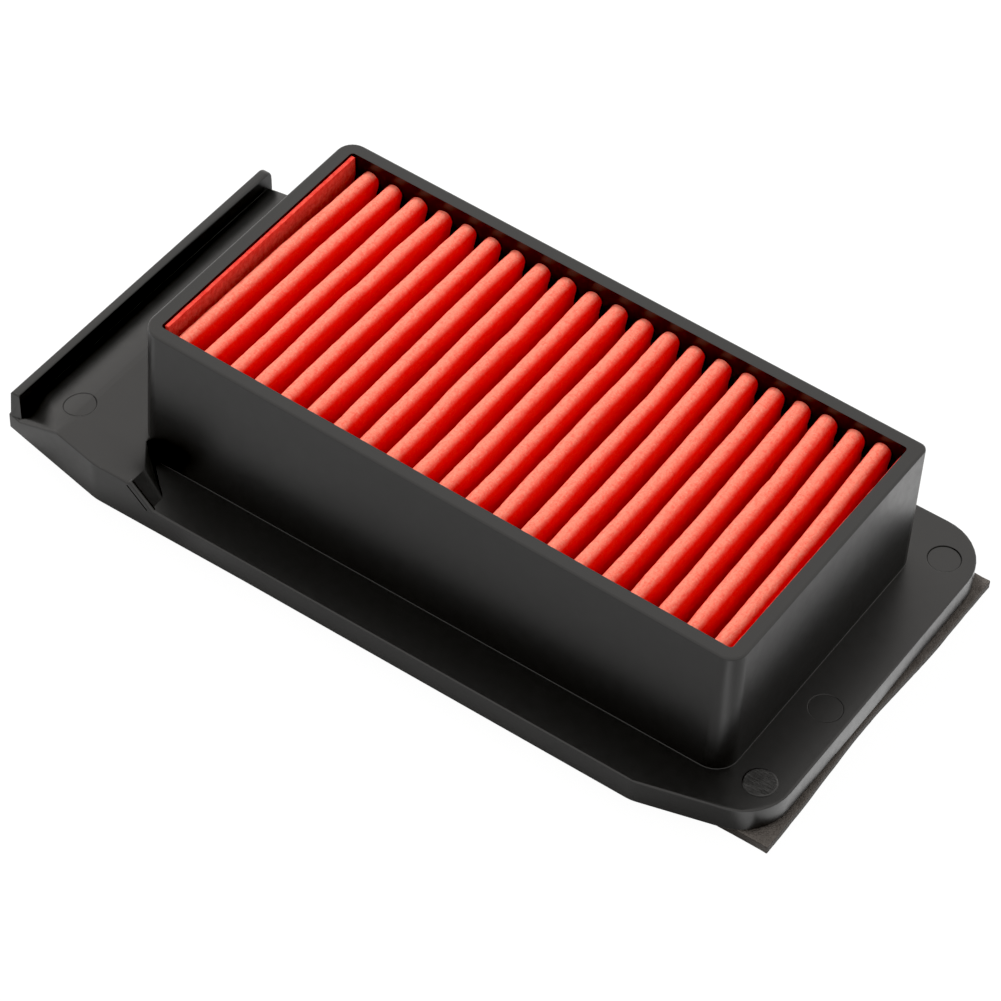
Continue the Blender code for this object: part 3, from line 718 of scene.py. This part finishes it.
def soften_foam(bm, lo, hi):
    """Lumpy skins, wavy outer edges and a right end drawn in between its corners."""
    mid_x, mid_y = (lo.x + hi.x) / 2, (lo.y + hi.y) / 2
    half_x, half_y = (hi.x - lo.x) / 2, (hi.y - lo.y) / 2
    for vert in bm.verts:
        p = vert.co
        u = (p.x - mid_x) / half_x
        w = (p.y - mid_y) / half_y
        if u > 0.9:
            p.x -= 1.15 * MM * math.exp(-((w + 0.15) / 0.42) ** 2) * (u - 0.9) / 0.1
        wave = 0.18 * MM * noise.noise(Vector((p.x * 90, p.y * 90, 1.0)))
        lump = noise.noise(p * 900.0) * 0.055 * MM + noise.noise(p * 260.0) * 0.07 * MM
        if p.z < lo.z + 0.05 * MM:
            lump = min(lump, 0.0)
        p += vert.normal * (lump - FOAM_SHRINK)
        if abs(u) > 0.97:
            p.x += math.copysign(1.0, u) * wave
        if abs(w) > 0.97:
            p.y += math.copysign(1.0, w) * wave
        p.z = max(p.z, lo.z)


def build_foam():
    lo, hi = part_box("foam_gasket")
    bm = bmesh.new()
    grid = foam_skins(bm, lo, hi)
    foam_walls(bm, grid, lo, hi)
    bmesh.ops.recalc_face_normals(bm, faces=bm.faces)
    bm.normal_update()
    soften_foam(bm, lo, hi)
    ob = add_object("foam_ring", mesh_from(bm, "foam_ring"), LOOK["foam"])
    bevel = ob.modifiers.new("edge_round", 'BEVEL')
    bevel.width = 0.30 * MM
    bevel.segments = 2
    bevel.limit_method = 'ANGLE'
    bevel.angle_limit = math.radians(50)
    bevel.use_clamp_overlap = True
    register(ob, "foam_gasket")


build_foam()


# ------------------------------------------------------------------ glue beads
BEAD_STEP = 0.9 * MM
BEAD_SIDES = 14
BEAD_SQUARENESS = 0.55          # 1 is an ellipse, less is squarer
BEADS = (                       # name, CAD bar, long axis (0 = X, 1 = Y), noise seed
    ("glue_front", "edge_bond_front", 0, 2.0),
    ("glue_back", "edge_bond_back", 0, 7.0),
    ("glue_left_end", "end_bond_left", 1, 12.0),
    ("glue_right_end", "end_bond_right", 1, 17.0),
)


def build_bead(name, node, axis, seed):
    """Hand-run bead inside one CAD bar: an uneven rounded strip along one axis."""
    lo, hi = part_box(node)
    thin = 1 - axis
    mid = (lo[thin] + hi[thin]) / 2
    half_t = (hi[thin] - lo[thin]) / 2
    steps = int((hi[axis] - lo[axis]) / BEAD_STEP)
    bm = bmesh.new()
    loops = []
    for k in range(steps + 1):
        s = lo[axis] + (hi[axis] - lo[axis]) * k / steps
        fade = min(1.0, (k + 0.35) / 2.5, (steps - k + 0.35) / 2.5)
        slow = noise.noise(Vector((s * 160, seed, 0.0)))
        quick = noise.noise(Vector((s * 420, seed, 5.0)))
        if axis == 0:
            # the long beads follow the sloping rim, with an uneven top
            top = hi.z + RIM_SLOPE * (s - lo.x) - (0.5 + 0.9 * abs(slow) + 0.4 * quick) * MM
            low = lo.z - RIM_SLOPE * (hi.x - s)
            fill = 0.96
        else:
            top, low = hi.z, lo.z
            fill = 0.86 + 0.1 * slow
        half_w = half_t * (0.82 + 0.16 * quick) * fade
        loop = []
        for j in range(BEAD_SIDES):
            angle = 2 * math.pi * j / BEAD_SIDES
            c, d = math.cos(angle), math.sin(angle)
            place = [0.0, 0.0, 0.0]
            place[axis] = s
            place[thin] = mid + half_w * math.copysign(abs(c) ** BEAD_SQUARENESS, c)
            place[2] = ((top + low) / 2 + (top - low) / 2 * fill
                        * math.copysign(abs(d) ** BEAD_SQUARENESS, d))
            loop.append(bm.verts.new(place))
        loops.append(loop)
    for near, far in zip(loops, loops[1:]):
        for j in range(BEAD_SIDES):
            i = (j + 1) % BEAD_SIDES
            bm.faces.new((near[j], near[i], far[i], far[j]))
    bm.faces.new(list(reversed(loops[0])))
    bm.faces.new(loops[-1])
    bmesh.ops.recalc_face_normals(bm, faces=bm.faces)
    register(add_object(name, mesh_from(bm, name), LOOK["glue"]), node)


for bead in BEADS:
    build_bead(*bead)


# ------------------------------------------------------------------ floor
FLOOR_HALF = 6.0
FLOOR_Z = -0.05 * MM


def floor_look():
    """Bright paper to the camera; to the part, a matt board that glows in a painted pool of
    light.
    """
    m = Mat("studio_floor")
    path = m.node("ShaderNodeLightPath")
    paper = m.node("ShaderNodeBsdfDiffuse")
    m.put(paper.inputs["Color"], (0.07, 0.07, 0.07))
    shine = m.node("ShaderNodeEmission")
    m.put(shine.inputs["Color"], (1.0, 1.0, 1.0))
    m.put(shine.inputs["Strength"], 0.96)
    # painted pool of light: the board glows to the right of the part
    x = m.xyz(m.geometry("Position"))[0]
    pool = m.math('MULTIPLY',
                  m.remap(x, span=(102 * MM, 108 * MM), to=(0.0, 1.30), smooth=True),
                  m.remap(x, span=(112 * MM, 124 * MM), to=(1.0, 0.10), smooth=True))
    m.set(Base_Color=(0.50, 0.50, 0.50), Roughness=0.9, Specular_IOR_Level=0.0,
          Emission_Color=(1.0, 1.0, 1.0), Emission_Strength=pool)
    both = m.node("ShaderNodeAddShader")
    m.link(paper.outputs[0], both.inputs[0])
    m.link(shine.outputs[0], both.inputs[1])
    m.surface(m.mix_shader(fac=path.outputs["Is Camera Ray"], first=m.bsdf, second=both))
    return m.mat


def build_floor():
    look = floor_look()
    mesh = bpy.data.meshes.new("studio_floor")
    corners = [(x * FLOOR_HALF, y * FLOOR_HALF, FLOOR_Z)
               for x, y in ((-1, -1), (1, -1), (1, 1), (-1, 1))]
    mesh.from_pydata(corners, [], [(0, 1, 2, 3)])
    add_object("studio_floor", mesh, look)


build_floor()


# ------------------------------------------------------------------ light
TENT_FILL = 0.72                # strength of the surroundings as fill
TENT_SHINE = 0.72               # added where they are seen in reflections


def build_world():
    """A warm white tent, brighter in reflections than as fill."""
    world = bpy.data.worlds.new("studio")
    scene.world = world
    world.use_nodes = True
    tree = world.node_tree
    background = tree.nodes["Background"]
    background.inputs["Color"].default_value = (1.0, 0.972, 0.945, 1.0)
    ray = tree.nodes.new("ShaderNodeLightPath")
    scale = tree.nodes.new("ShaderNodeMath")
    scale.operation = 'MULTIPLY_ADD'
    tree.links.new(ray.outputs["Is Glossy Ray"], scale.inputs[0])
    scale.inputs[1].default_value = TENT_SHINE
    scale.inputs[2].default_value = TENT_FILL
    tree.links.new(scale.outputs[0], background.inputs["Strength"])


def softbox(name, place, size, power):
    """Square light aimed at the middle of the part, not seen in reflections."""
    data = bpy.data.lights.new(name, 'AREA')
    data.shape = 'RECTANGLE'
    data.size = size
    data.size_y = size
    data.energy = power
    ob = bpy.data.objects.new(name, data)
    scene.collection.objects.link(ob)
    ob.location = place
    ob.rotation_mode = 'QUATERNION'
    aim = Vector((0, 0, 0.02)) - Vector(place)
    ob.rotation_quaternion = aim.to_track_quat('-Z', 'Y')
    ob.visible_glossy = False


def set_tones():
    view = scene.view_settings
    view.view_transform = 'Standard'
    view.look = 'None'
    view.exposure = 0.0
    view.gamma = 1.0
    # the deepest tones go to black
    view.use_curve_mapping = True
    curve = view.curve_mapping
    curve.black_level = (0.0060, 0.0060, 0.0060)
    curve.white_level = (1.0, 1.0, 1.0)
    curve.update()


build_world()
softbox("softbox_key", place=(-0.85, 0.45, 1.10), size=0.45, power=25.0)
softbox("softbox_front", place=(-0.30, -0.90, 1.05), size=0.8, power=3.0)
set_tones()


# ------------------------------------------------------------------ camera
CAMERA_PLACE = (0.344622, -0.527163, 0.695365)
CAMERA_AXES = (                 # directions in the scene
    (0.8177562, 0.5745955, 0.0333888),      # right of the view
    (-0.4433910, 0.5919161, 0.6730822),     # up in the view
    (0.3669866, -0.5652215, 0.7388136),     # back, away from the part
)


def build_camera():
    data = bpy.data.cameras.new("camera")
    data.sensor_width = 36.0
    data.lens = 140.25974026
    data.clip_start = 0.05
    data.clip_end = 20.0
    camera = bpy.data.objects.new("camera", data)
    scene.collection.objects.link(camera)
    matrix = Matrix(CAMERA_AXES).transposed().to_4x4()
    matrix.translation = Vector(CAMERA_PLACE)
    camera.matrix_world = matrix
    scene.camera = camera


build_camera()
